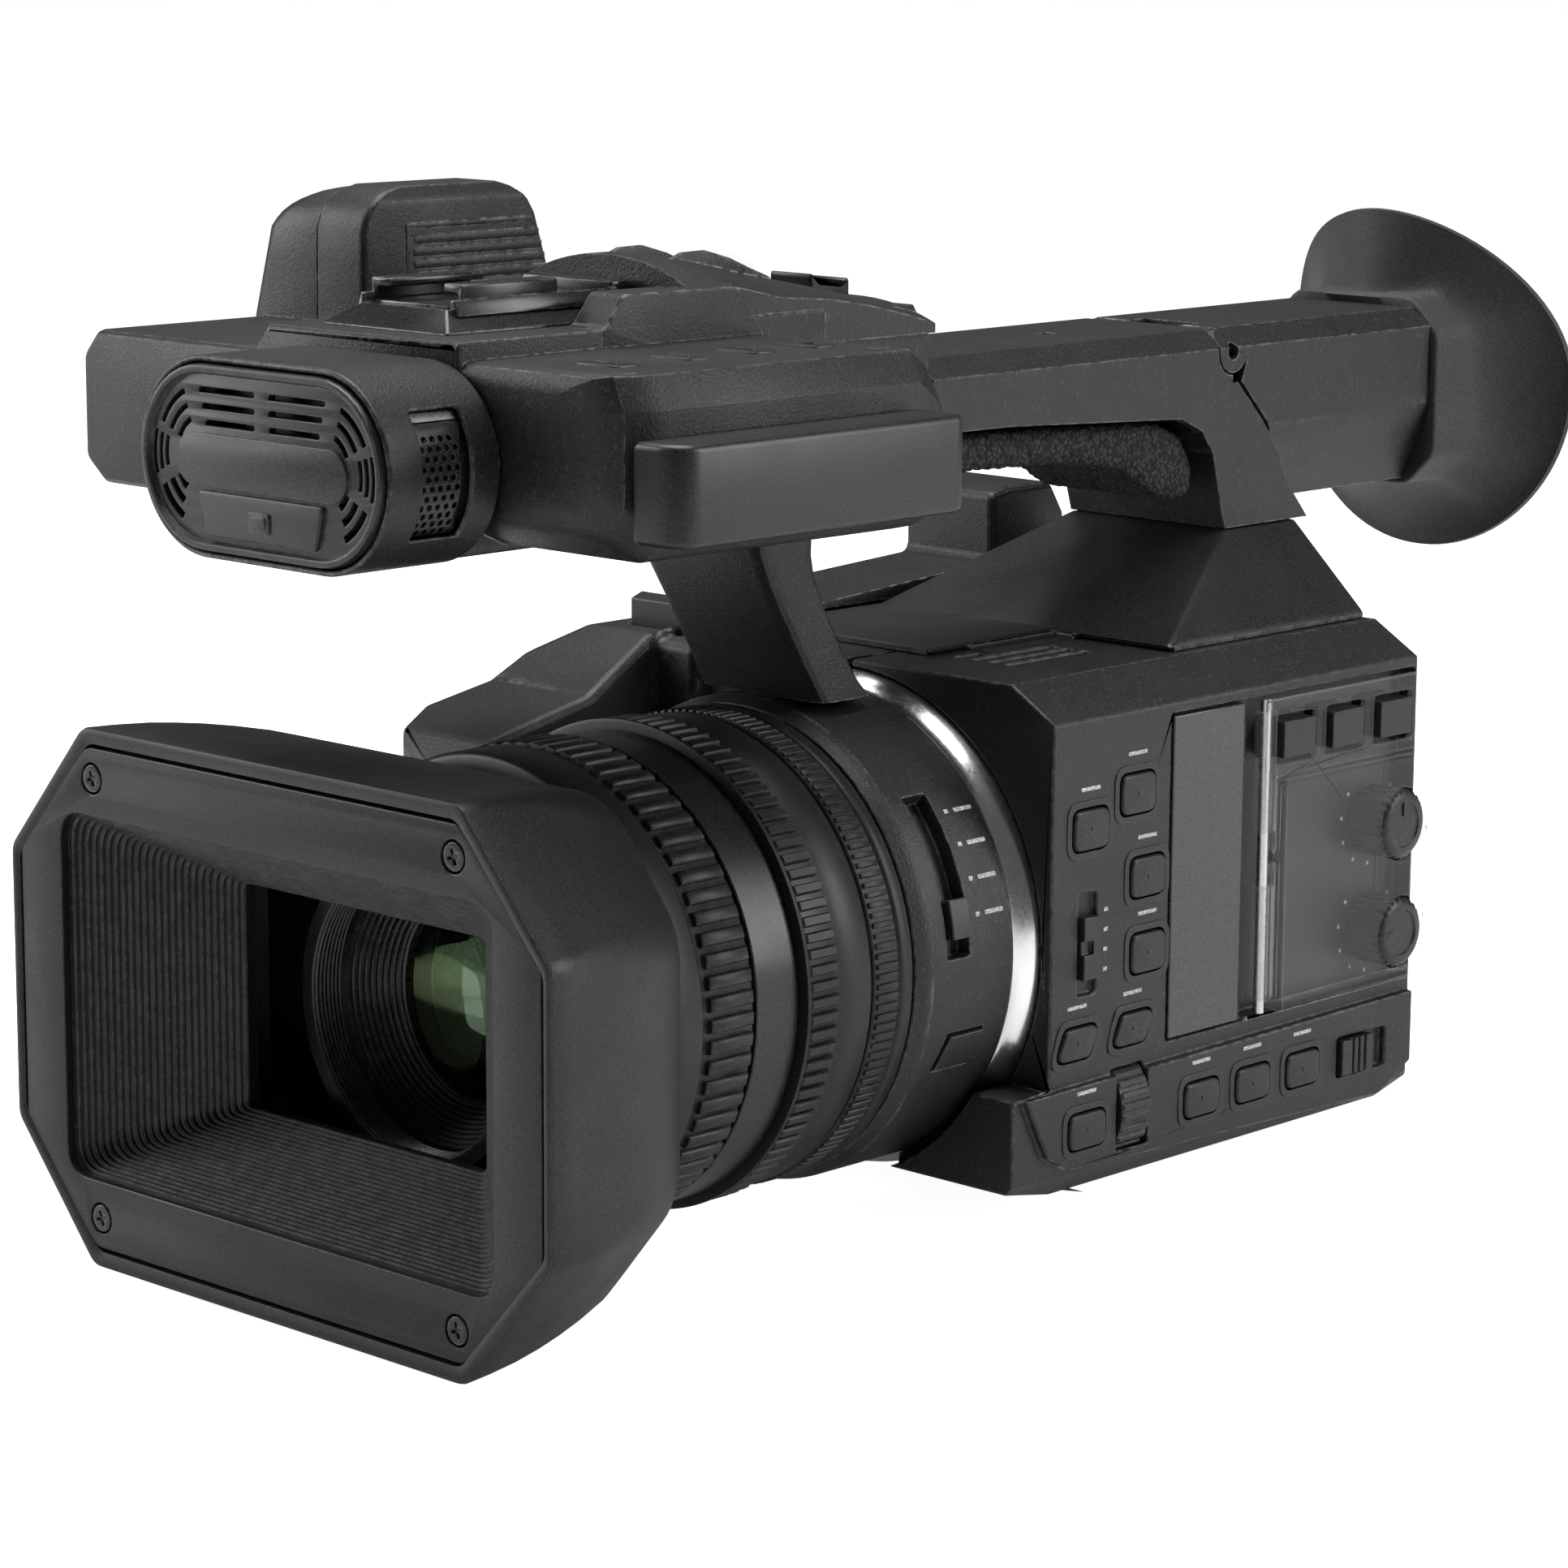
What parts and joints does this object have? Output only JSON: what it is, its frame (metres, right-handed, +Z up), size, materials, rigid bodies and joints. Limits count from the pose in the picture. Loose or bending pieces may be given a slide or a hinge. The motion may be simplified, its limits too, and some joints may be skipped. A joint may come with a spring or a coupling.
{
  "type": "camcorder",
  "caption": "Handheld video camera with a hooded zoom lens, top carrying handle with microphone, stowed screen and tilting viewfinder, and a side control panel.",
  "frame": {"origin": "mouth of the tripod thread in the base", "axes": "+Z up, -Y along the lens's view, +X to the control side"},
  "size_m": [0.16, 0.31, 0.1818],
  "materials": {
    "hood_plastic": "smooth matte",
    "face_plastic": "smooth matte",
    "black_steel": "black oxide",
    "satin_black": "satin black",
    "coated_glass": "multi-coated",
    "ring_rubber": "satin, ribbed",
    "casing": "fine leathery texture",
    "button_plastic": "satin",
    "bright_metal": "satin bright",
    "steel": "ground",
    "board": "solder mask",
    "smooth_cover": "smooth satin",
    "gloss_panel": "polished",
    "clear_plastic": "clear moulded",
    "foam": "coarse foam",
    "grille": "satin black",
    "soft_rubber": "soft matte",
    "red_button": "satin",
    "strap": "woven",
    "battery_plastic": "fine grain"
  },
  "bodies": {
    "camera": {"hood_shell": "hood_plastic", "hood_face": "face_plastic", "hood_screws": "black_steel", "filter_ring": "satin_black", "front_lens": "coated_glass", "lens_tube": "satin_black", "lens_barrel": "casing", "trim_ring": "bright_metal", "left_body_shell": "casing", "right_body_shell": "casing", "base_plate": "black_steel", "circuit_boards": "board", "top_cover": "smooth_cover", "side_panel": "gloss_panel", "hinge_pins": "steel", "handle_shell": "casing", "handle_pad": "foam", "accessory_shoe": "black_steel", "microphone_housing": "casing", "microphone_grille": "grille", "terminal_block": "casing", "front_housing": "casing", "hand_strap": "strap"},
    "focus_ring": {"focus_ring": "ring_rubber"},
    "zoom_ring": {"zoom_ring": "ring_rubber"},
    "iris_ring": {"iris_ring": "ring_rubber"},
    "nd_slider": {"nd_slider": "button_plastic"},
    "iris_button": {"iris_button": "button_plastic"},
    "user_button_1": {"user_button_1": "button_plastic"},
    "user_button_2": {"user_button_2": "button_plastic"},
    "user_button_3": {"user_button_3": "button_plastic"},
    "user_button_4": {"user_button_4": "button_plastic"},
    "user_button_5": {"user_button_5": "button_plastic"},
    "push_focus_button": {"push_focus_button": "button_plastic"},
    "menu_button": {"menu_button": "button_plastic"},
    "gain_button": {"gain_button": "button_plastic"},
    "white_balance_button": {"white_balance_button": "button_plastic"},
    "shutter_button": {"shutter_button": "button_plastic"},
    "stabiliser_button": {"stabiliser_button": "button_plastic"},
    "zebra_button": {"zebra_button": "button_plastic"},
    "display_button": {"display_button": "button_plastic"},
    "lcd_button_1": {"lcd_button_1": "button_plastic"},
    "lcd_button_2": {"lcd_button_2": "button_plastic"},
    "lcd_button_3": {"lcd_button_3": "button_plastic"},
    "lcd_button_4": {"lcd_button_4": "button_plastic"},
    "focus_switch": {"focus_switch": "button_plastic"},
    "mode_switch": {"mode_switch": "button_plastic"},
    "jog_dial": {"jog_dial": "button_plastic"},
    "volume_dial_1": {"volume_dial_1": "button_plastic"},
    "volume_dial_2": {"volume_dial_2": "button_plastic"},
    "audio_door": {"audio_door": "clear_plastic"},
    "lcd_slab": {"lcd_slab": "smooth_cover"},
    "top_record_button": {"top_record_button": "clear_plastic"},
    "handle_zoom_lever": {"handle_zoom_lever": "button_plastic"},
    "viewfinder": {"viewfinder": "casing", "eyepiece_lens": "coated_glass", "eyecup": "soft_rubber"},
    "zoom_rocker": {"zoom_rocker": "button_plastic"},
    "record_button": {"record_button": "red_button"},
    "battery": {"battery": "battery_plastic"}
  },
  "joints": [
    {"name": "focus_ring_turn", "type": "hinge", "parent": "camera", "child": "focus_ring", "pos_m": [0, -0.116, 0.05], "axis": [0, 1, 0], "continuous": true},
    {"name": "zoom_ring_turn", "type": "hinge", "parent": "camera", "child": "zoom_ring", "pos_m": [0, -0.085, 0.05], "axis": [0, 1, 0], "continuous": true},
    {"name": "iris_ring_turn", "type": "hinge", "parent": "camera", "child": "iris_ring", "pos_m": [0, -0.072, 0.05], "axis": [0, 1, 0], "continuous": true},
    {"name": "nd_slider_turn", "type": "hinge", "parent": "camera", "child": "nd_slider", "pos_m": [0, -0.0565, 0.05], "axis": [0, -1, 0], "range_deg": [-3, 24]},
    {"name": "iris_button_press", "type": "slide", "parent": "camera", "child": "iris_button", "axis": [-0.9409, 0, 0.3387], "range_m": [0, 0.0006], "stiffness_N_per_m": 2000},
    {"name": "user_button_1_press", "type": "slide", "parent": "camera", "child": "user_button_1", "axis": [-1, 0, 0], "range_m": [0, 0.0006], "stiffness_N_per_m": 2000},
    {"name": "user_button_2_press", "type": "slide", "parent": "camera", "child": "user_button_2", "axis": [-1, 0, 0], "range_m": [0, 0.0006], "stiffness_N_per_m": 2000},
    {"name": "user_button_3_press", "type": "slide", "parent": "camera", "child": "user_button_3", "axis": [-1, 0, 0], "range_m": [0, 0.0006], "stiffness_N_per_m": 2000},
    {"name": "user_button_4_press", "type": "slide", "parent": "camera", "child": "user_button_4", "axis": [-1, 0, 0], "range_m": [0, 0.0006], "stiffness_N_per_m": 2000},
    {"name": "user_button_5_press", "type": "slide", "parent": "camera", "child": "user_button_5", "axis": [-1, 0, 0], "range_m": [0, 0.0006], "stiffness_N_per_m": 2000},
    {"name": "push_focus_button_press", "type": "slide", "parent": "camera", "child": "push_focus_button", "axis": [-1, 0, 0], "range_m": [0, 0.0006], "stiffness_N_per_m": 2000},
    {"name": "menu_button_press", "type": "slide", "parent": "camera", "child": "menu_button", "axis": [-1, 0, 0], "range_m": [0, 0.0006], "stiffness_N_per_m": 2000},
    {"name": "gain_button_press", "type": "slide", "parent": "camera", "child": "gain_button", "axis": [-1, 0, 0], "range_m": [0, 0.0006], "stiffness_N_per_m": 2000},
    {"name": "white_balance_button_press", "type": "slide", "parent": "camera", "child": "white_balance_button", "axis": [-1, 0, 0], "range_m": [0, 0.0006], "stiffness_N_per_m": 2000},
    {"name": "shutter_button_press", "type": "slide", "parent": "camera", "child": "shutter_button", "axis": [-1, 0, 0], "range_m": [0, 0.0006], "stiffness_N_per_m": 2000},
    {"name": "stabiliser_button_press", "type": "slide", "parent": "camera", "child": "stabiliser_button", "axis": [-1, 0, 0], "range_m": [0, 0.0006], "stiffness_N_per_m": 2000},
    {"name": "zebra_button_press", "type": "slide", "parent": "camera", "child": "zebra_button", "axis": [-1, 0, 0], "range_m": [0, 0.0006], "stiffness_N_per_m": 2000},
    {"name": "display_button_press", "type": "slide", "parent": "camera", "child": "display_button", "axis": [-1, 0, 0], "range_m": [0, 0.0006], "stiffness_N_per_m": 2000},
    {"name": "lcd_button_1_press", "type": "slide", "parent": "camera", "child": "lcd_button_1", "axis": [0, 0, -1], "range_m": [0, 0.0006], "stiffness_N_per_m": 2000},
    {"name": "lcd_button_2_press", "type": "slide", "parent": "camera", "child": "lcd_button_2", "axis": [0, 0, -1], "range_m": [0, 0.0006], "stiffness_N_per_m": 2000},
    {"name": "lcd_button_3_press", "type": "slide", "parent": "camera", "child": "lcd_button_3", "axis": [0, 0, -1], "range_m": [0, 0.0006], "stiffness_N_per_m": 2000},
    {"name": "lcd_button_4_press", "type": "slide", "parent": "camera", "child": "lcd_button_4", "axis": [0, 0, -1], "range_m": [0, 0.0006], "stiffness_N_per_m": 2000},
    {"name": "focus_switch_slide", "type": "slide", "parent": "camera", "child": "focus_switch", "axis": [0, 0, 1], "range_m": [-0.0025, 0.003]},
    {"name": "mode_switch_slide", "type": "slide", "parent": "camera", "child": "mode_switch", "axis": [0, 1, 0], "range_m": [0, 0.0045]},
    {"name": "jog_dial_turn", "type": "hinge", "parent": "camera", "child": "jog_dial", "pos_m": [0.0403, -0.0158, 0.0188], "axis": [0, 1, 0], "continuous": true},
    {"name": "volume_dial_1_turn", "type": "hinge", "parent": "camera", "child": "volume_dial_1", "pos_m": [0.05, 0.0595, 0.0604], "axis": [1, 0, 0], "range_deg": [-140, 140]},
    {"name": "volume_dial_2_turn", "type": "hinge", "parent": "camera", "child": "volume_dial_2", "pos_m": [0.05, 0.0595, 0.0396], "axis": [1, 0, 0], "range_deg": [-230, 50]},
    {"name": "audio_door_swing", "type": "hinge", "parent": "camera", "child": "audio_door", "pos_m": [0.0487, 0.021, 0.055], "axis": [0, 0, -1], "range_deg": [0, 110]},
    {"name": "lcd_slide", "type": "slide", "parent": "camera", "child": "lcd_slab", "axis": [1, 0, 0], "range_m": [0, 0.06]},
    {"name": "top_record_button_press", "type": "slide", "parent": "camera", "child": "top_record_button", "axis": [0, 0, -1], "range_m": [0, 0.0006], "stiffness_N_per_m": 2000},
    {"name": "handle_zoom_rock", "type": "hinge", "parent": "camera", "child": "handle_zoom_lever", "pos_m": [0, -0.049, 0.1626], "axis": [1, 0, 0], "range_deg": [-6, 6], "stiffness_Nm_per_rad": 0.3},
    {"name": "viewfinder_tilt", "type": "hinge", "parent": "camera", "child": "viewfinder", "pos_m": [0, 0.047, 0.1478], "axis": [1, 0, 0], "range_deg": [0, 70]},
    {"name": "grip_zoom_rock", "type": "hinge", "parent": "camera", "child": "zoom_rocker", "pos_m": [-0.052, -0.026, 0.096], "axis": [1, 0, 0], "range_deg": [-5, 5], "stiffness_Nm_per_rad": 0.6},
    {"name": "record_button_press", "type": "slide", "parent": "camera", "child": "record_button", "axis": [0, -1, 0], "range_m": [0, 0.0006], "stiffness_N_per_m": 2000},
    {"name": "battery_slide", "type": "slide", "parent": "camera", "child": "battery", "axis": [0, 1, 0], "range_m": [0, 0.03]}
  ]
}
